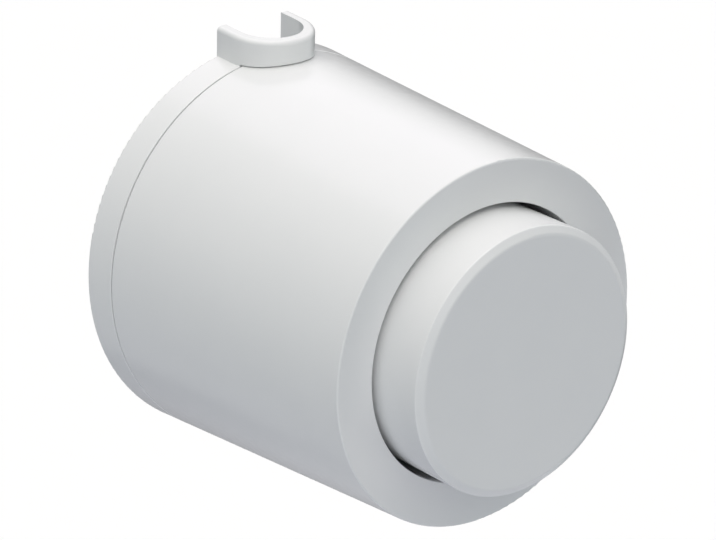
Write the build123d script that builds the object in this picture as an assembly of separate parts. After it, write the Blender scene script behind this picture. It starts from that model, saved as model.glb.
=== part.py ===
from build123d import *
import math
import os

# Wall-mounted push button that pumps air to a cistern's flush valve.
# All lengths are in millimetres. The pieces are drawn in a front view: X to the right, Y up,
# and Z is the depth from the wall towards the person who presses. The last step turns them upright.

# Button and outer form
button_diameter = 41.9
button_gap = 0.9
button_proud = 8.6
button_travel = 7.5
button_edge_width = 1.25
button_edge_depth = 0.7
button_edge_softening = 1.0
annulus_width = 6.85
annulus_dish = 0.5
body_taper = 3.3
body_depth = 56.6
seam_depth = 5.55
seam_gap = 0.25
front_edge_radius = 0.3
edge_break = 0.3

# Hose collar on top of the wall plate
collar_width = 14.4
collar_wall = 1.8
collar_depth = 11.0
collar_rise = 3.9
collar_inset = 4.5
collar_rounding = 0.75
collar_overhang = 0.6
collar_lift = 0.22
collar_gap = 0.2

# Walls of the mouldings
cover_wall = 2.2
front_wall = 2.6
plate_web = 2.6
spigot_wall = 1.6
spigot_height = 4.2
guide_wall = 1.7
skirt_wall = 1.8
button_face_wall = 2.2
inside_fillet = 0.8

# Clearances
fit_clearance = 0.12
guide_clearance = 0.3
contact_gap = 0.1
assembly_gap = 2.0

# Snap noses between wall plate and cover
nose_count = 4
nose_height = 0.5
nose_length = 2.4
nose_arc = 14.0
nose_from_seam = 2.2

# Wall screw slots and pump pillars
slot_spacing = 40.0
slot_width = 4.5
slot_length = 8.5
slot_pad_rim = 2.6
slot_pad_height = 0.8
pillar_radius = 3.0
pillar_count = 3
pillar_start_angle = 30.0
pillar_wall_gap = 0.4
hose_space = 10.4

# Pump: base plate, bellows, clamp ring and screws
pump_base_thickness = 2.6
pump_rim = 2.0
bellows_gap = 3.6
bellows_wave = 3.5
bellows_wall = 1.0
bellows_end_wall = 1.4
bellows_flange_width = 2.5
bellows_flange_thickness = 1.6
bellows_length = 32.4
bellows_waves = 4
bellows_rounding = 0.7
clamp_thickness = 2.2
ear_wall = 1.4
screw_radius = 1.4
screw_length = 14.0
screw_head_radius = 2.6
screw_head_height = 2.0
screw_slot_width = 0.7
screw_slot_depth = 1.0

# Return spring and its seats
spring_diameter = 15.2
spring_wire = 1.2
spring_turns = 6
spring_seat_height = 3.0
spring_cup_thickness = 1.2
spring_cup_rim = 1.4

# Button guide and stops
stop_overlap = 1.1
flange_thickness = 1.8
damping_thickness = 1.2
retaining_thickness = 2.2
retaining_width = 3.2
overtravel_gap = 0.5
rib_count = 6
rib_width = 2.0
rib_setback = 6.0
rib_start_angle = 30.0
key_count = 3
key_width = 3.0
key_height = 0.8
lug_width = 6.0
lug_height = 1.0

# Plunger inside the button
plunger_plate = 2.0
plunger_pusher_radius = 11.0
plunger_stem_radius = 8.0
plunger_stem_wall = 1.6
plunger_gussets = 6
plunger_gusset_thickness = 1.4
plunger_gusset_depth = 7.0
plunger_hole_radius = 2.0
clip_height = 0.5
clip_length = 1.6
clip_arc = 24.0

# Hose nipple
hose_diameter = 5.5
hose_gap = 0.45
nipple_elbow_radius = 2.8
nipple_bore_radius = 1.3
nipple_stem_radius = 3.0
nipple_stem_length = 3.6
nipple_shoulder_radius = 4.4
nipple_shoulder = 1.1
barb_radius = 2.4
barb_root_radius = 1.9
barb_pitch = 2.6
barb_count = 3
barb_start = 4.0
socket_wall = 2.0
seal_section = 0.84
port_radius = 1.5

# Radii worked out from the sizes above
button_radius = button_diameter / 2
bore_radius = button_radius + button_gap
front_radius = bore_radius + annulus_width
wall_radius = front_radius + body_taper
skirt_inside = button_radius - skirt_wall
flange_radius = bore_radius + stop_overlap
chamber_radius = flange_radius + guide_clearance
chamber_outside = chamber_radius + guide_wall
tube_outside = bore_radius + guide_wall
bellows_radius = skirt_inside - bellows_gap
bellows_root = bellows_radius - bellows_wave
bellows_flange_radius = bellows_radius + bellows_flange_width
pump_radius = bellows_flange_radius + pump_rim
ear_radius = screw_head_radius + ear_wall / 2
spring_radius = spring_diameter / 2
screw_hole_radius = screw_radius + guide_clearance
collar_top = wall_radius + collar_rise

# Depths worked out from the wall to the front
cover_rear = seam_depth + seam_gap
spigot_front = seam_depth + spigot_height
nipple_axis_depth = plate_web + hose_diameter / 2 + hose_gap
pump_rear = plate_web + hose_space
pump_front = pump_rear + pump_base_thickness
bellows_flange_front = pump_front + bellows_flange_thickness
clamp_front = bellows_flange_front + clamp_thickness
screw_front = clamp_front + screw_head_height
guide_rear = screw_front + assembly_gap
retaining_front = guide_rear + retaining_thickness
flange_rear = retaining_front + overtravel_gap + button_travel
flange_front = flange_rear + flange_thickness
damping_rear = flange_front + contact_gap
stop_depth = damping_rear + damping_thickness
bellows_front = pump_front + bellows_length
bellows_end_inside = bellows_front - bellows_end_wall
cup_front = bellows_end_inside - contact_gap
cup_rear = cup_front - spring_cup_thickness
button_face = body_depth + button_proud
button_face_inside = button_face - button_face_wall
plunger_rear = bellows_front + contact_gap
plunger_front = button_face_inside - contact_gap
plunger_plate_rear = plunger_front - plunger_plate


def body_radius(depth):
    # Outer cone of wall plate and cover
    return wall_radius - body_taper * depth / body_depth


def lining_radius(depth):
    # Inner cone of the cover
    return body_radius(depth) - cover_wall


def spigot_radius(depth):
    # Outer cone of the wall plate's spigot, which the cover slips over
    return lining_radius(depth) - fit_clearance


spigot_inside = spigot_radius(spigot_front) - spigot_wall
pillar_circle = spigot_inside - pillar_wall_gap - pillar_radius
collar_inside = spigot_inside - collar_inset


def turned(*corners, arc=360):
    # Solid of revolution about the button's axis, from corners of radius, depth and rounding
    points = [(radius, depth) for radius, depth, _ in corners]
    roundings = [rounding for _, _, rounding in corners]
    outline = FilletPolyline(*points, radius=roundings, close=True)
    return revolve(Plane.XZ * make_face(outline), Axis.Z, arc)


def around(piece, count, start=0):
    # Evenly spaced copies of a piece about the button's axis
    return [Rot(0, 0, start + 360 / count * i) * piece for i in range(count)]


def radial_block(inner, outer, width, rear, front):
    # Block on the X axis, from one radius to another and from one depth to another
    place = Pos((inner + outer) / 2, 0, (rear + front) / 2)
    return place * Box(outer - inner, width, front - rear)


def disc(radius, rear, front):
    # Plain cylinder on the button's axis
    return turned((0, rear, 0), (radius, rear, 0), (radius, front, 0), (0, front, 0))


def hose_outline(half_width, depth, start=0):
    # Plan outline of the collar: straight sides from the wall, half round towards the front
    straight = depth - half_width
    outline = Polyline(
        (half_width, straight),
        (half_width, start),
        (-half_width, start),
        (-half_width, straight),
    )
    outline += CenterArc((0, straight), half_width, 0, 180)
    return make_face(outline)


def collar_neck(extra):
    # Plan outline of the collar's neck, or with some extra room the cover's notch for it
    reach = extra - collar_overhang
    return hose_outline(collar_width / 2 + reach, collar_depth + reach)


def upright(outline, low, high):
    # Raise a plan outline from one height above the axis to another
    plan = Plane(origin=(0, low, 0), x_dir=(-1, 0, 0), z_dir=(0, 1, 0))
    return extrude(plan * outline, amount=high - low)


def snap_band(extra):
    # Ridge on the spigot, or with some extra room the pocket for it in the cover
    middle = seam_depth + nose_from_seam
    reach = nose_length / 2 + extra
    root = spigot_wall / 2
    arc = nose_arc + math.degrees(2 * extra / wall_radius)
    ridge = turned(
        (spigot_radius(middle) - root, middle - reach, 0),
        (spigot_radius(middle - reach), middle - reach, 0),
        (spigot_radius(middle) + nose_height + extra, middle, 0),
        (spigot_radius(middle + reach), middle + reach, 0),
        (spigot_radius(middle) - root, middle + reach, 0),
        arc=arc,
    )
    first = 180 / nose_count - arc / 2
    return around(ridge, nose_count, first)


def screw_pad(angle):
    # Raised oblong pad under the head of one wall screw
    pad = SlotOverall(slot_length + 2 * slot_pad_rim, slot_width + 2 * slot_pad_rim)
    raised = extrude(pad, amount=plate_web + slot_pad_height, dir=(0, 0, 1))
    return Rot(0, 0, angle) * Pos(slot_spacing / 2, 0) * raised


def screw_slot(angle):
    # Oblong hole for one wall screw
    slot = SlotOverall(slot_length, slot_width)
    hole = extrude(slot, amount=plate_web + 2 * slot_pad_height, dir=(0, 0, 1))
    return Rot(0, 0, angle) * Pos(slot_spacing / 2, 0) * hole


def pillar():
    # Screw pillar that carries the pump
    post = disc(pillar_radius, 0, pump_rear)
    pilot_rear = clamp_front - screw_length - contact_gap
    post -= disc(screw_radius + contact_gap / 2, pilot_rear, pump_rear)
    return Pos(pillar_circle, 0, 0) * post


def hose_collar():
    # Upstanding U that leads the hose out along the wall, with a hood that stays clear of the cover
    outside = hose_outline(collar_width / 2, collar_depth)
    inside = hose_outline(collar_width / 2 - collar_wall, collar_depth - collar_wall)
    top = Plane(origin=(0, collar_top, 0), z_dir=(0, 1, body_taper / body_depth))
    hood = split(upright(outside, collar_inside, collar_top), top, keep=Keep.BOTTOM)
    rim = hood.faces().sort_by(Axis.Y)[-1].edges()
    off_the_wall = [edge for edge in rim if edge.center().Z > collar_rounding]
    hood = fillet(off_the_wall, collar_rounding)
    hood -= turned(
        (0, seam_depth, 0),
        (body_radius(seam_depth) + collar_lift, seam_depth, 0),
        (body_radius(collar_depth) + collar_lift, collar_depth, 0),
        (0, collar_depth, 0),
    )
    neck = upright(collar_neck(0), collar_inside, wall_radius + collar_rise / 2)
    return hood + neck - upright(inside, collar_inside, collar_top)


def wall_plate():
    plate = turned(
        (0, 0, 0),
        (wall_radius, 0, edge_break),
        (body_radius(seam_depth), seam_depth, edge_break / 2),
        (spigot_radius(seam_depth), seam_depth, 0),
        (spigot_radius(spigot_front), spigot_front, edge_break),
        (spigot_inside, spigot_front, edge_break),
        (spigot_inside, plate_web, inside_fillet),
        (0, plate_web, 0),
    )
    plate += snap_band(0)
    plate += [screw_pad(angle) for angle in (0, 180)]
    plate += around(pillar(), pillar_count, pillar_start_angle)
    plate -= [screw_slot(angle) for angle in (0, 180)]
    channel = hose_outline(collar_width / 2 - collar_wall / 2, collar_depth - collar_wall / 2, -plate_web)
    plate -= upright(channel, collar_inside, collar_top)
    return plate + hose_collar()


def guide_ribs():
    # Rails in the bore on which the button slides
    inner = button_radius + guide_clearance
    rail = radial_block(inner, bore_radius + guide_wall / 2, rib_width, stop_depth, body_depth - rib_setback)
    return around(rail, rib_count, rib_start_angle)


def guide_keys(side_gap=0, tip_gap=0):
    # Rails in the chamber that keep the button from turning, or with gaps the notches for them
    inner = chamber_radius - key_height - tip_gap
    outer = chamber_radius + guide_wall / 2
    rail = radial_block(inner, outer, key_width + 2 * side_gap, retaining_front, damping_rear - contact_gap)
    return around(rail, key_count, 90)


def retaining_lugs(extra):
    # Lugs of the retaining ring, or with extra room the windows for them in the guide tube
    middle = (guide_rear + retaining_front) / 2
    half = lug_height / 2 + extra
    inner = chamber_radius - retaining_width / 2
    lug = radial_block(inner, chamber_outside + extra, lug_width + 2 * extra, middle - half, middle + half)
    return around(lug, key_count, -90)


def cover():
    front_inside = body_depth - front_wall
    shoulder = stop_depth + guide_wall
    shell = turned(
        (body_radius(cover_rear), cover_rear, edge_break / 2),
        (front_radius, body_depth, front_edge_radius),
        (bore_radius, body_depth - annulus_dish, edge_break / 2),
        (bore_radius, stop_depth, 0),
        (chamber_radius, stop_depth, 0),
        (chamber_radius, guide_rear, 0),
        (chamber_outside, guide_rear, 0),
        (chamber_outside, shoulder, inside_fillet),
        (tube_outside, shoulder, inside_fillet),
        (tube_outside, front_inside, inside_fillet),
        (lining_radius(front_inside), front_inside, inside_fillet),
        (lining_radius(cover_rear), cover_rear, 0),
    )
    shell -= upright(collar_neck(collar_gap), chamber_outside, collar_top)
    shell -= snap_band(fit_clearance)
    shell += guide_ribs()
    shell += guide_keys()
    return shell - retaining_lugs(fit_clearance)


def retaining_ring():
    outer = chamber_radius - contact_gap
    inner = chamber_radius - retaining_width
    ring = turned(
        (inner, guide_rear, edge_break),
        (outer, guide_rear, edge_break),
        (outer, retaining_front - contact_gap, 0),
        (inner, retaining_front - contact_gap, edge_break),
    )
    return ring + retaining_lugs(0)


def damping_ring():
    inner = button_radius + guide_clearance
    outer = chamber_radius - contact_gap
    return turned(
        (inner, damping_rear, edge_break),
        (outer, damping_rear, edge_break),
        (outer, stop_depth, 0),
        (inner, stop_depth, 0),
    )


def plunger_clips():
    # Inner ridges of the skirt that hold the plunger
    front = plunger_plate_rear - contact_gap
    clip = turned(
        (skirt_inside + skirt_wall / 2, front - clip_length, 0),
        (skirt_inside, front - clip_length, 0),
        (skirt_inside - clip_height, front, 0),
        (skirt_inside + skirt_wall / 2, front, 0),
        arc=clip_arc,
    )
    return around(clip, key_count, -clip_arc / 2)


def push_button():
    cap = turned(
        (button_radius, flange_front, 0),
        (flange_radius, flange_front, 0),
        (flange_radius, flange_rear, 0),
        (skirt_inside, flange_rear, 0),
        (skirt_inside, button_face_inside, 0),
        (0, button_face_inside, 0),
        (0, button_face, 0),
        (button_radius - button_edge_width, button_face, button_edge_softening),
        (button_radius, button_face - button_edge_depth, edge_break),
    )
    cap += plunger_clips()
    return cap - guide_keys(guide_clearance, guide_clearance)


def plunger_gusset():
    # Web between the stem and the plate of the plunger
    root = plunger_stem_radius - plunger_stem_wall / 2
    tip = skirt_inside - clip_height - plunger_hole_radius
    web = Polyline(
        (root, plunger_plate_rear - plunger_gusset_depth),
        (root, plunger_plate_rear + plunger_plate / 2),
        (tip, plunger_plate_rear + plunger_plate / 2),
        (tip, plunger_plate_rear),
        close=True,
    )
    return extrude(Plane.XZ * make_face(web), amount=plunger_gusset_thickness / 2, both=True)


def plunger():
    pusher_front = plunger_rear + plunger_plate
    stem_bore = plunger_stem_radius - plunger_stem_wall
    plate_radius = skirt_inside - contact_gap
    body = turned(
        (0, plunger_rear, 0),
        (plunger_pusher_radius, plunger_rear, edge_break),
        (plunger_pusher_radius, pusher_front, edge_break),
        (plunger_stem_radius, pusher_front, inside_fillet),
        (plunger_stem_radius, plunger_plate_rear, 0),
        (plate_radius, plunger_plate_rear, 0),
        (plate_radius, plunger_front, edge_break),
        (stem_bore, plunger_front, 0),
        (stem_bore, pusher_front, 0),
        (0, pusher_front, 0),
    )
    body += around(plunger_gusset(), plunger_gussets)
    hole_circle = (plunger_stem_radius + plate_radius) / 2
    hole = Pos(hole_circle, 0, 0) * disc(plunger_hole_radius, plunger_rear, plunger_front)
    return body - around(hole, plunger_gussets, 180 / plunger_gussets)


def ears_outline():
    # Round plate outline with an ear over each pillar
    ear = Pos(pillar_circle / 2, 0) * Rectangle(pillar_circle, 2 * ear_radius)
    ear += Pos(pillar_circle, 0) * Circle(ear_radius)
    outline = Circle(pump_radius) + around(ear, pillar_count, pillar_start_angle)
    hole = Pos(pillar_circle, 0) * Circle(screw_hole_radius)
    return outline - around(hole, pillar_count, pillar_start_angle)


def pump_base():
    base = Pos(0, 0, pump_rear) * extrude(ears_outline(), amount=pump_base_thickness)
    spring_seat = spring_radius - spring_wire / 2 - guide_clearance
    seat_front = pump_front + spring_seat_height
    socket_bore = nipple_stem_radius + contact_gap / 2
    socket_rear = pump_rear - nipple_stem_length
    base += disc(spring_seat, pump_front, seat_front)
    base += disc(socket_bore + socket_wall, socket_rear, pump_rear)
    base -= disc(socket_bore, socket_rear, pump_rear)
    return base - disc(port_radius, pump_rear, seat_front)


def bellows_ring():
    ring = Pos(0, 0, pump_front) * extrude(ears_outline(), amount=clamp_front - pump_front)
    ring -= disc(bellows_flange_radius + contact_gap, pump_front, bellows_flange_front)
    return ring - disc(bellows_root + contact_gap, pump_front, clamp_front)


def wave_corners(shift, rounding):
    # Zigzag of the bellows wall, from rear to front
    start = clamp_front + bellows_end_wall
    pitch = (bellows_front - bellows_end_wall - start) / bellows_waves
    corners = [(bellows_root - shift, start, rounding)]
    for wave in range(bellows_waves):
        corners.append((bellows_radius - shift, start + (wave + 0.5) * pitch, rounding))
        corners.append((bellows_root - shift, start + (wave + 1) * pitch, rounding))
    return corners


def bellows():
    inside = wave_corners(bellows_wall, 0)
    outside = wave_corners(0, bellows_rounding)
    neck_inside = bellows_root - bellows_wall
    return turned(
        (neck_inside, pump_front, 0),
        (bellows_flange_radius, pump_front, 0),
        (bellows_flange_radius, bellows_flange_front, 0),
        (bellows_root, bellows_flange_front, 0),
        *outside,
        (bellows_root, bellows_front, edge_break),
        (0, bellows_front, 0),
        (0, bellows_end_inside, 0),
        *reversed(inside),
    )


def pump_screw():
    shank_end = clamp_front - screw_length
    screw = turned(
        (0, shank_end, 0),
        (screw_radius / 2, shank_end, 0),
        (screw_radius, shank_end + screw_radius, 0),
        (screw_radius, clamp_front, 0),
        (screw_head_radius, clamp_front, 0),
        (screw_head_radius, screw_front, screw_head_height / 2),
        (0, screw_front, 0),
    )
    blade = Box(2 * screw_radius, screw_slot_width, 2 * screw_slot_depth)
    cross = blade + Rot(0, 0, 90) * blade
    return screw - Pos(0, 0, screw_front) * cross


def pump_screws():
    placed = Pos(pillar_circle, 0, 0) * pump_screw()
    return Compound(around(placed, pillar_count, pillar_start_angle))


def return_spring():
    rear = pump_front + spring_wire / 2 + contact_gap
    front = cup_rear - spring_wire / 2 - contact_gap
    coil = Helix((front - rear) / spring_turns, front - rear, spring_radius)
    section = Plane(coil @ 0, z_dir=coil % 0) * Circle(spring_wire / 2)
    return Pos(0, 0, rear) * sweep(section, path=coil, is_frenet=True)


def spring_cup():
    spigot = spring_radius - spring_wire / 2 - guide_clearance
    rim = spring_radius + spring_wire / 2 + spring_cup_rim
    bore = spigot - spring_cup_thickness
    return turned(
        (0, cup_front, 0),
        (rim, cup_front, edge_break),
        (rim, cup_rear, edge_break),
        (spigot, cup_rear, 0),
        (spigot, cup_rear - spring_seat_height, edge_break),
        (bore, cup_rear - spring_seat_height, 0),
        (bore, cup_rear, 0),
        (0, cup_rear, 0),
    )


def hose_barb():
    # Barbed tube, drawn along Z from the elbow
    corners = [(0, 0, 0), (nipple_elbow_radius, 0, 0), (nipple_elbow_radius, barb_start, edge_break)]
    corners.append((barb_root_radius, barb_start, 0))
    for barb in range(barb_count):
        ridge = barb_start + (barb + 0.5) * barb_pitch
        corners.append((barb_root_radius, ridge, 0))
        corners.append((barb_radius, ridge, 0))
    tip = barb_start + (barb_count + 0.5) * barb_pitch
    corners.append((barb_root_radius, tip, 0))
    corners.append((0, tip, 0))
    return turned(*corners) - disc(nipple_bore_radius, 0, tip)


def seal_groove_depth():
    # Depth of the middle of the seal's groove on the nipple's stem
    return pump_rear - nipple_stem_length / 2


def hose_nipple():
    socket_rear = pump_rear - nipple_stem_length
    stem_end = pump_rear - contact_gap
    groove = seal_groove_depth()
    groove_half = seal_section / 2 + contact_gap / 2
    groove_radius = nipple_stem_radius - seal_section + contact_gap / 2
    nipple = Pos(0, 0, nipple_axis_depth) * Sphere(nipple_elbow_radius)
    nipple += disc(nipple_elbow_radius, nipple_axis_depth, socket_rear)
    nipple += disc(nipple_shoulder_radius, socket_rear - nipple_shoulder, socket_rear)
    nipple += turned(
        (0, socket_rear, 0),
        (nipple_stem_radius, socket_rear, 0),
        (nipple_stem_radius, groove - groove_half, 0),
        (groove_radius, groove - groove_half, 0),
        (groove_radius, groove + groove_half, 0),
        (nipple_stem_radius, groove + groove_half, 0),
        (nipple_stem_radius, stem_end, edge_break),
        (0, stem_end, 0),
    )
    nipple += Pos(0, 0, nipple_axis_depth) * Rot(-90, 0, 0) * hose_barb()
    nipple -= disc(nipple_bore_radius, nipple_axis_depth, stem_end)
    return nipple - Pos(0, 0, nipple_axis_depth) * Rot(-90, 0, 0) * disc(nipple_bore_radius, 0, barb_start)


def nipple_seal():
    section = seal_section / 2 - contact_gap / 4
    ring = nipple_stem_radius - seal_section / 2 + contact_gap / 2
    return Pos(0, 0, seal_groove_depth()) * Torus(ring, section)


pieces = {
    "wall_plate": wall_plate(),
    "cover": cover(),
    "retaining_ring": retaining_ring(),
    "damping_ring": damping_ring(),
    "push_button": push_button(),
    "plunger": plunger(),
    "spring_cup": spring_cup(),
    "return_spring": return_spring(),
    "bellows": bellows(),
    "bellows_ring": bellows_ring(),
    "pump_base": pump_base(),
    "pump_screws": pump_screws(),
    "hose_nipple": hose_nipple(),
    "nipple_seal": nipple_seal(),
}

# Turn the front view upright: the wall is the XZ plane, the front looks along -Y and +Z is up
os.makedirs("parts", exist_ok=True)
for name, piece in pieces.items():
    export_step(Rot(90, 0, 0) * piece, f"parts/{name}.step")
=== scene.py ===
import math

import bpy
from mathutils import Matrix, Vector


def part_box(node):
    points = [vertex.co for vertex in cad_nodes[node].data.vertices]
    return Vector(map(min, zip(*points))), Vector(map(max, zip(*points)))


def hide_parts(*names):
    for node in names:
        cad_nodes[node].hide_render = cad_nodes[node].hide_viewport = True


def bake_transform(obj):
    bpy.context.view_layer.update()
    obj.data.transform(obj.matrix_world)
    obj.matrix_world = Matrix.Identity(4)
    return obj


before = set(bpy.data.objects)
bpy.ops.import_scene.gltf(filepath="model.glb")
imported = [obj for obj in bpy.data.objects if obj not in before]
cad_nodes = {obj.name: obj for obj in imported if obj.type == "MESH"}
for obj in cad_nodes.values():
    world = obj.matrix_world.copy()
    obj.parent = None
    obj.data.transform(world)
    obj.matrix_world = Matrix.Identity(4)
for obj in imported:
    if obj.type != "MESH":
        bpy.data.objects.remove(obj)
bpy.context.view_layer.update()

scene = bpy.context.scene
scene.view_settings.view_transform = "Standard"

MM = 0.001
WHITE = (1, 1, 1, 1)

# Camera, from the outlines in the photograph: how it is turned, and where it shows the frame's origin
PICTURE_WIDTH_PX = 716
FOCAL_LENGTH_PX = 3207.2
SENSOR_WIDTH_MM = 36.0
CAMERA_AZIMUTH = math.radians(-40.243)
CAMERA_ELEVATION = math.radians(21.961)
CAMERA_ROLL = math.radians(1.349)
CAMERA_DISTANCE = 513.24 * MM
ORIGIN_RIGHT_PX = -106.43
ORIGIN_UP_PX = 37.15

# Floor well below the wall-mounted object, and an even surround
FLOOR_HEIGHT = -700 * MM
FLOOR_SIZE = 12.0
FLOOR_PALE = (0.24, 0.236, 0.296, 1)
SURROUND_COLOUR = (0.80, 1.0, 0.96, 1)
SURROUND_STRENGTH = 0.28

# Broad lamps: name, azimuth and elevation in degrees, strength, colour
LAMP_ANGLE = math.radians(70)
LAMP_DISTANCE = 1.0
LAMPS = [
    ("overhead", -90, 75, 1.51, (1.0, 0.93, 0.89)),
    ("front", -20, 40, 0.71, (1.0, 0.95, 0.955)),
    ("behind_right", 135, 60, 0.64, (0.97, 0.85, 1.0)),
]

# Soft fills: name, azimuth and elevation in degrees, power in watts
FILL_DISTANCE = 700 * MM
FILL_SIZE = 500 * MM
FILL_COLOUR = (0.945, 1.0, 0.985)
FILLS = [
    ("fill_front_left", -45, -45, 0.98),
    ("fill_behind_right", 120, -30, 0.8),
]

# Card behind the object: its span, and its grey at some heights in millimetres
CARD_FROM = math.radians(91)
CARD_TO = math.radians(200)
CARD_STEPS = 24
CARD_DISTANCE = 300 * MM
CARD_GREYS = [(-520, 1.0), (-260, 0.4), (-60, 0.08), (45, 0.06), (140, 0.9)]

# Bellows in millimetres: its reach and place come from the CAD node
BELLOWS_FLANGE_WIDTH = 2.5
BELLOWS_FLANGE_THICKNESS = 1.6
BELLOWS_NECK = 3.6
BELLOWS_WAVES = 4
BELLOWS_WAVE_HEIGHT = 3.5
BELLOWS_WALL = 1.0
BELLOWS_END_WALL = 1.4
BELLOWS_EDGE_BREAK = 0.3
BELLOWS_WAVE_STEPS = 12
BELLOWS_SEGMENTS = 96

# Return spring in millimetres: its reach and place come from the CAD node
SPRING_WIRE_RADIUS = 0.6
SPRING_TURNS = 6
SPRING_CLOSED_PITCH = 1.224
SPRING_STEPS_PER_TURN = 48
SPRING_STEPS = SPRING_TURNS * SPRING_STEPS_PER_TURN
SPRING_WIRE_SIDES = 14

# Materials: the span in which most values of a noise lie
NOISE_LOW = 0.3
NOISE_HIGH = 0.7

# Meshes: edges sharper than this aren't smoothed
SHARP_ANGLE = math.radians(40)


def view_axes(azimuth, elevation, roll):
    # Right, up and back directions of a camera that looks at the origin
    back = Vector((
        math.sin(azimuth) * math.cos(elevation),
        -math.cos(azimuth) * math.cos(elevation),
        math.sin(elevation),
    ))
    level_right = Vector((math.cos(azimuth), math.sin(azimuth), 0))
    level_up = back.cross(level_right)
    right = math.cos(roll) * level_right + math.sin(roll) * level_up
    up = math.cos(roll) * level_up - math.sin(roll) * level_right
    return right, up, back


def add_camera():
    right, up, back = view_axes(CAMERA_AZIMUTH, CAMERA_ELEVATION, CAMERA_ROLL)
    metres_per_pixel = CAMERA_DISTANCE / FOCAL_LENGTH_PX
    aside = ORIGIN_RIGHT_PX * metres_per_pixel * right
    above = ORIGIN_UP_PX * metres_per_pixel * up
    place = back * CAMERA_DISTANCE - aside - above
    data = bpy.data.cameras.new("photo_camera")
    data.sensor_width = SENSOR_WIDTH_MM
    data.lens = FOCAL_LENGTH_PX * SENSOR_WIDTH_MM / PICTURE_WIDTH_PX
    camera = bpy.data.objects.new("photo_camera", data)
    scene.collection.objects.link(camera)
    camera.matrix_world = Matrix.Translation(place) @ Matrix((right, up, back)).transposed().to_4x4()
    scene.camera = camera


def seen_directly(tree):
    # 1 for rays from the camera, a mirror or a glass, 0 for the light that falls on the object
    path = tree.nodes.new("ShaderNodeLightPath")
    total = path.outputs["Is Camera Ray"]
    for kind in ("Is Glossy Ray", "Is Transmission Ray"):
        either = tree.nodes.new("ShaderNodeMath")
        either.operation = "MAXIMUM"
        tree.links.new(total, either.inputs[0])
        tree.links.new(path.outputs[kind], either.inputs[1])
        total = either.outputs[0]
    return total


def mix_by_sight(tree, unseen, seen, target):
    mix = tree.nodes.new("ShaderNodeMixShader")
    tree.links.new(seen_directly(tree), mix.inputs["Fac"])
    tree.links.new(unseen.outputs[0], mix.inputs[1])
    tree.links.new(seen.outputs[0], mix.inputs[2])
    tree.links.new(mix.outputs[0], target.inputs["Surface"])


def add_surround():
    world = bpy.data.worlds.new("surround")
    world.use_nodes = True
    scene.world = world
    tree = world.node_tree
    ambient = tree.nodes["Background"]
    ambient.inputs["Color"].default_value = SURROUND_COLOUR
    ambient.inputs["Strength"].default_value = SURROUND_STRENGTH
    white = tree.nodes.new("ShaderNodeBackground")
    white.inputs["Color"].default_value = WHITE
    mix_by_sight(tree, ambient, white, tree.nodes["World Output"])


def bare_material(name):
    # Material that has only its output node
    material = bpy.data.materials.new(name)
    material.use_nodes = True
    tree = material.node_tree
    tree.nodes.remove(tree.nodes["Principled BSDF"])
    return material


def floor_material():
    # White where it is seen, and pale in the light that it sends back to the object
    material = bare_material("floor_paper")
    tree = material.node_tree
    pale = tree.nodes.new("ShaderNodeBsdfDiffuse")
    pale.inputs["Color"].default_value = FLOOR_PALE
    white = tree.nodes.new("ShaderNodeBsdfDiffuse")
    white.inputs["Color"].default_value = WHITE
    mix_by_sight(tree, pale, white, tree.nodes["Material Output"])
    return material


def add_floor():
    half = FLOOR_SIZE / 2
    corners = [
        (-half, -half, FLOOR_HEIGHT),
        (half, -half, FLOOR_HEIGHT),
        (half, half, FLOOR_HEIGHT),
        (-half, half, FLOOR_HEIGHT),
    ]
    mesh = bpy.data.meshes.new("floor")
    mesh.from_pydata(corners, [], [(0, 1, 2, 3)])
    mesh.materials.append(floor_material())
    floor = bpy.data.objects.new("floor", mesh)
    scene.collection.objects.link(floor)


def card_material():
    # Grey that changes with the height
    material = bare_material("card_grey")
    tree = material.node_tree
    place = tree.nodes.new("ShaderNodeTexCoord")
    parts = tree.nodes.new("ShaderNodeSeparateXYZ")
    ramp = tree.nodes.new("ShaderNodeValToRGB")
    shade = tree.nodes.new("ShaderNodeEmission")
    tree.links.new(place.outputs["Generated"], parts.inputs[0])
    tree.links.new(parts.outputs["Z"], ramp.inputs["Fac"])
    tree.links.new(ramp.outputs["Color"], shade.inputs["Color"])
    tree.links.new(shade.outputs[0], tree.nodes["Material Output"].inputs["Surface"])
    low = CARD_GREYS[0][0]
    high = CARD_GREYS[-1][0]
    stops = ramp.color_ramp.elements
    while len(stops) < len(CARD_GREYS):
        stops.new(position=0.5)
    for stop, (height, grey) in zip(stops, CARD_GREYS):
        stop.position = (height - low) / (high - low)
        stop.color = (grey, grey, grey, 1)
    return material


def add_card():
    # Curved card that only shows as a reflection, and so draws the edges of the white plastic
    points = []
    for step in range(CARD_STEPS + 1):
        azimuth = CARD_FROM + (CARD_TO - CARD_FROM) * step / CARD_STEPS
        place = view_axes(azimuth, 0, 0)[2] * CARD_DISTANCE
        points.append((place.x, place.y, CARD_GREYS[0][0] * MM))
        points.append((place.x, place.y, CARD_GREYS[-1][0] * MM))
    faces = [(2 * step, 2 * step + 2, 2 * step + 3, 2 * step + 1) for step in range(CARD_STEPS)]
    mesh = bpy.data.meshes.new("card")
    mesh.from_pydata(points, [], faces)
    mesh.materials.append(card_material())
    card = bpy.data.objects.new("card", mesh)
    card.visible_camera = False
    card.visible_diffuse = False
    card.visible_shadow = False
    scene.collection.objects.link(card)


def add_lamp(data, azimuth, elevation, distance):
    # Lamp that stands in this direction and shines at the origin
    back = view_axes(azimuth, elevation, 0)[2]
    lamp = bpy.data.objects.new(data.name, data)
    lamp.location = back * distance
    lamp.rotation_euler = back.to_track_quat("Z", "Y").to_euler()
    scene.collection.objects.link(lamp)
    return lamp


def add_lamps():
    for name, azimuth, elevation, strength, colour in LAMPS:
        data = bpy.data.lights.new(name, "SUN")
        data.angle = LAMP_ANGLE
        data.energy = strength
        data.color = colour
        add_lamp(data, math.radians(azimuth), math.radians(elevation), LAMP_DISTANCE)


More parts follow.
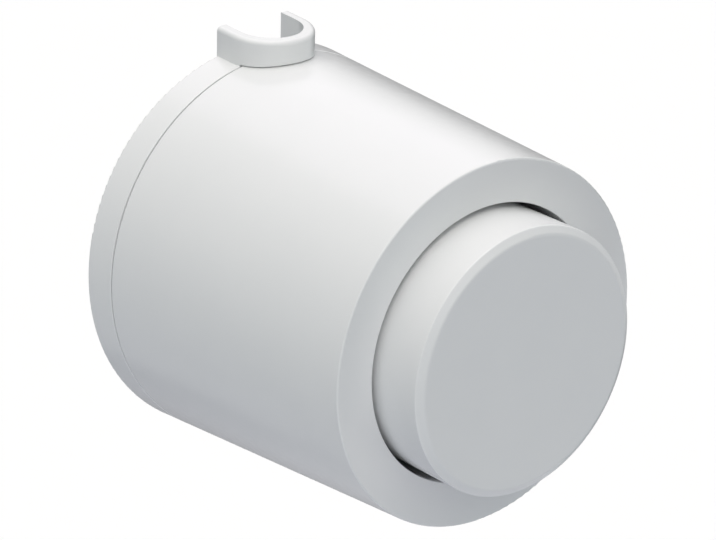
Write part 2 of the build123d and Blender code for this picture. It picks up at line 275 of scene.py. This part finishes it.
def add_fills():
    # Large soft lamps from below, like the light that a pale room sends back
    for name, azimuth, elevation, power in FILLS:
        data = bpy.data.lights.new(name, "AREA")
        data.size = FILL_SIZE
        data.energy = power
        data.color = FILL_COLOUR
        lamp = add_lamp(data, math.radians(azimuth), math.radians(elevation), FILL_DISTANCE)
        lamp.visible_camera = False


class Finish:
    """A procedural material whose colour, gloss and fine relief come from noise."""

    def __init__(self, name, metallic=0.0):
        self.material = bpy.data.materials.new(name)
        self.material.use_nodes = True
        self.tree = self.material.node_tree
        self.shader = self.tree.nodes["Principled BSDF"]
        self.shader.inputs["Metallic"].default_value = metallic
        self.coordinates = self.tree.nodes.new("ShaderNodeTexCoord")
        self.space = self.coordinates.outputs["Object"]
        self.relief = None

    def stretched(self, space, scale):
        # Texture space that is drawn out along an axis
        mapping = self.tree.nodes.new("ShaderNodeMapping")
        mapping.inputs["Scale"].default_value = scale
        self.tree.links.new(self.coordinates.outputs[space], mapping.inputs["Vector"])
        self.space = mapping.outputs["Vector"]

    def noise(self, size, detail=3.0):
        # Noise with features of about this size, in the units of the texture space
        texture = self.tree.nodes.new("ShaderNodeTexNoise")
        texture.inputs["Scale"].default_value = 1 / size
        texture.inputs["Detail"].default_value = detail
        self.tree.links.new(self.space, texture.inputs["Vector"])
        return texture.outputs["Fac"]

    def colour(self, size, dark, light):
        ramp = self.tree.nodes.new("ShaderNodeValToRGB")
        ramp.color_ramp.elements[0].position = NOISE_LOW
        ramp.color_ramp.elements[0].color = (*dark, 1)
        ramp.color_ramp.elements[1].position = NOISE_HIGH
        ramp.color_ramp.elements[1].color = (*light, 1)
        self.tree.links.new(self.noise(size), ramp.inputs["Fac"])
        self.tree.links.new(ramp.outputs["Color"], self.shader.inputs["Base Color"])

    def roughness(self, size, low, high):
        spread = self.tree.nodes.new("ShaderNodeMapRange")
        spread.inputs["From Min"].default_value = NOISE_LOW
        spread.inputs["From Max"].default_value = NOISE_HIGH
        spread.inputs["To Min"].default_value = low
        spread.inputs["To Max"].default_value = high
        self.tree.links.new(self.noise(size), spread.inputs["Value"])
        self.tree.links.new(spread.outputs["Result"], self.shader.inputs["Roughness"])

    def bump(self, size, height, detail=2.0):
        # Relief of this height in metres, on top of any that is already there
        bump = self.tree.nodes.new("ShaderNodeBump")
        bump.inputs["Distance"].default_value = height
        self.tree.links.new(self.noise(size, detail), bump.inputs["Height"])
        if self.relief is not None:
            self.tree.links.new(self.relief, bump.inputs["Normal"])
        self.relief = bump.outputs["Normal"]
        self.tree.links.new(self.relief, self.shader.inputs["Normal"])


def white_plastic():
    # Satin moulding: spark-eroded grain, faint flow of the melt
    finish = Finish("white_plastic")
    finish.colour(size=9 * MM, dark=(0.855, 0.858, 0.861), light=(0.866, 0.868, 0.870))
    finish.roughness(size=1.4 * MM, low=0.18, high=0.24)
    finish.bump(size=6 * MM, height=0.002 * MM)
    finish.bump(size=0.22 * MM, height=0.0025 * MM)
    return finish.material


def grey_plastic():
    # Tough inner mouldings, duller and a little cloudy
    finish = Finish("grey_plastic")
    finish.colour(size=5 * MM, dark=(0.27, 0.28, 0.29), light=(0.33, 0.34, 0.35))
    finish.roughness(size=1.0 * MM, low=0.45, high=0.6)
    finish.bump(size=0.3 * MM, height=0.006 * MM)
    return finish.material


def soft_rubber():
    # Moulded rubber with a dusty bloom
    finish = Finish("soft_rubber")
    finish.colour(size=3 * MM, dark=(0.022, 0.022, 0.023), light=(0.042, 0.042, 0.041))
    finish.roughness(size=0.8 * MM, low=0.6, high=0.82)
    finish.bump(size=0.25 * MM, height=0.012 * MM)
    return finish.material


def zinc_plating():
    # Passivated screw steel, with a patchy sheen
    finish = Finish("zinc_plating", metallic=1.0)
    finish.colour(size=1.5 * MM, dark=(0.56, 0.58, 0.60), light=(0.66, 0.66, 0.64))
    finish.roughness(size=0.6 * MM, low=0.24, high=0.4)
    finish.bump(size=0.15 * MM, height=0.003 * MM)
    return finish.material


def drawn_wire():
    # Spring steel with drawing lines along the wire, whose texture space runs along and round it
    finish = Finish("drawn_wire", metallic=1.0)
    finish.stretched(space="UV", scale=(0.2, 4.0, 1.0))
    finish.colour(size=0.2, dark=(0.50, 0.51, 0.52), light=(0.64, 0.64, 0.63))
    finish.roughness(size=0.1, low=0.25, high=0.42)
    finish.bump(size=0.1, height=0.004 * MM)
    return finish.material


def add_piece(name, points, faces, material, corner_uvs=None):
    mesh = bpy.data.meshes.new(name)
    mesh.from_pydata(points, [], faces)
    if corner_uvs:
        layer = mesh.uv_layers.new(name="along_and_round")
        for corner, uv in zip(layer.data, corner_uvs):
            corner.uv = uv
    mesh.materials.append(material)
    mesh.polygons.foreach_set("use_smooth", [True] * len(mesh.polygons))
    mesh.set_sharp_from_angle(angle=SHARP_ANGLE)
    piece = bpy.data.objects.new(name, mesh)
    scene.collection.objects.link(piece)
    return piece


def round_reach(node):
    # Rear and front depth from the wall, and outer radius, of a round node in millimetres
    low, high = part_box(node)
    return -high.y / MM, -low.y / MM, high.x / MM


def on_axis(depth):
    # Point of the button's axis at this depth from the wall
    return (0, -depth * MM, 0)


def round_axis(radius, angle, depth):
    # Point at this radius and angle round the button's axis, and at this depth from the wall
    return (radius * math.cos(angle) * MM, -depth * MM, radius * math.sin(angle) * MM)


def lathe(outline, segments):
    # Points and faces of an outline of radius and depth that starts and ends on the button's axis
    rings = outline[1:-1]
    points = []
    for step in range(segments):
        angle = 2 * math.pi * step / segments
        for radius, depth in rings:
            points.append(round_axis(radius, angle, depth))
    first_pole = len(points)
    last_pole = first_pole + 1
    points += [on_axis(outline[0][1]), on_axis(outline[-1][1])]
    count = len(rings)
    faces = []
    for step in range(segments):
        here = step * count
        there = (step + 1) % segments * count
        faces.append((first_pole, there, here))
        for i in range(count - 1):
            faces.append((here + i, there + i, there + i + 1, here + i + 1))
        faces.append((here + count - 1, there + count - 1, last_pole))
    return points, faces


def wave_outline(root, crest, start, end):
    # Rounded convolutions between two radii and two depths
    middle = (root + crest) / 2
    swing = (crest - root) / 2
    steps = BELLOWS_WAVES * BELLOWS_WAVE_STEPS
    outline = []
    for step in range(steps + 1):
        share = step / steps
        radius = middle - swing * math.cos(2 * math.pi * BELLOWS_WAVES * share)
        outline.append((radius, start + (end - start) * share))
    return outline


def add_bellows(material):
    rear, front, flange_radius = round_reach("bellows")
    flange_front = rear + BELLOWS_FLANGE_THICKNESS
    crest = flange_radius - BELLOWS_FLANGE_WIDTH
    root = crest - BELLOWS_WAVE_HEIGHT
    start = flange_front + BELLOWS_NECK
    end = front - BELLOWS_END_WALL
    inside = wave_outline(root - BELLOWS_WALL, crest - BELLOWS_WALL, start, end)
    outline = [
        (0, end),
        *reversed(inside),
        (root - BELLOWS_WALL, rear),
        (flange_radius, rear),
        (flange_radius, flange_front),
        (root, flange_front),
        *wave_outline(root, crest, start, end),
        (root, front - BELLOWS_EDGE_BREAK),
        (root - BELLOWS_EDGE_BREAK, front),
        (0, front),
    ]
    points, faces = lathe(outline, BELLOWS_SEGMENTS)
    bellows = add_piece("bellows_rubber", points, faces, material)
    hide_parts("bellows")
    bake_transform(bellows)


def coil_depth(share, rear, front):
    # Depth of the wire's centre along the coil, with a closed turn at each end
    closed = 1 / SPRING_TURNS
    if share < closed:
        return rear + SPRING_CLOSED_PITCH * share / closed
    if share > 1 - closed:
        return front - SPRING_CLOSED_PITCH * (1 - share) / closed
    active = (share - closed) / (1 - 2 * closed)
    return rear + SPRING_CLOSED_PITCH + (front - rear - 2 * SPRING_CLOSED_PITCH) * active


def coil_points(coil_radius, rear, front):
    # Points of the wire's surface, one ring for each step along the coil
    points = []
    for step in range(SPRING_STEPS + 1):
        share = step / SPRING_STEPS
        turn = 2 * math.pi * SPRING_TURNS * share
        centre = coil_depth(share, rear, front)
        for side in range(SPRING_WIRE_SIDES):
            around = 2 * math.pi * side / SPRING_WIRE_SIDES
            radius = coil_radius + SPRING_WIRE_RADIUS * math.cos(around)
            depth = centre + SPRING_WIRE_RADIUS * math.sin(around)
            points.append(round_axis(radius, turn, depth))
    return points


def coil_faces():
    # Faces between the rings and over both ends, with the place of each corner along and round the wire
    faces = []
    corner_uvs = []
    for step in range(SPRING_STEPS):
        near = step * SPRING_WIRE_SIDES
        far = near + SPRING_WIRE_SIDES
        here = step / SPRING_STEPS_PER_TURN
        there = (step + 1) / SPRING_STEPS_PER_TURN
        for side in range(SPRING_WIRE_SIDES):
            after = (side + 1) % SPRING_WIRE_SIDES
            low = side / SPRING_WIRE_SIDES
            high = (side + 1) / SPRING_WIRE_SIDES
            faces.append((near + side, far + side, far + after, near + after))
            corner_uvs += [(here, low), (there, low), (there, high), (here, high)]
    first = list(range(SPRING_WIRE_SIDES))
    last = [SPRING_STEPS * SPRING_WIRE_SIDES + side for side in reversed(range(SPRING_WIRE_SIDES))]
    faces += [first, last]
    corner_uvs += [(0, 0)] * (2 * SPRING_WIRE_SIDES)
    return faces, corner_uvs


def add_spring(material):
    reach_rear, reach_front, reach_radius = round_reach("return_spring")
    rear = reach_rear + SPRING_WIRE_RADIUS
    front = reach_front - SPRING_WIRE_RADIUS
    points = coil_points(reach_radius - SPRING_WIRE_RADIUS, rear, front)
    faces, corner_uvs = coil_faces()
    spring = add_piece("coil_spring", points, faces, material, corner_uvs)
    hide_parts("return_spring")
    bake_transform(spring)


def dress(material, *names):
    for name in names:
        materials = cad_nodes[name].data.materials
        materials.clear()
        materials.append(material)


add_camera()
add_surround()
add_floor()
add_card()
add_lamps()
add_fills()

rubber = soft_rubber()
dress(white_plastic(), "wall_plate", "cover", "push_button")
dress(grey_plastic(), "retaining_ring", "plunger", "spring_cup", "bellows_ring", "pump_base", "hose_nipple")
dress(rubber, "damping_ring", "nipple_seal", "bellows")
dress(zinc_plating(), "pump_screws", "return_spring")
add_bellows(rubber)
add_spring(drawn_wire())
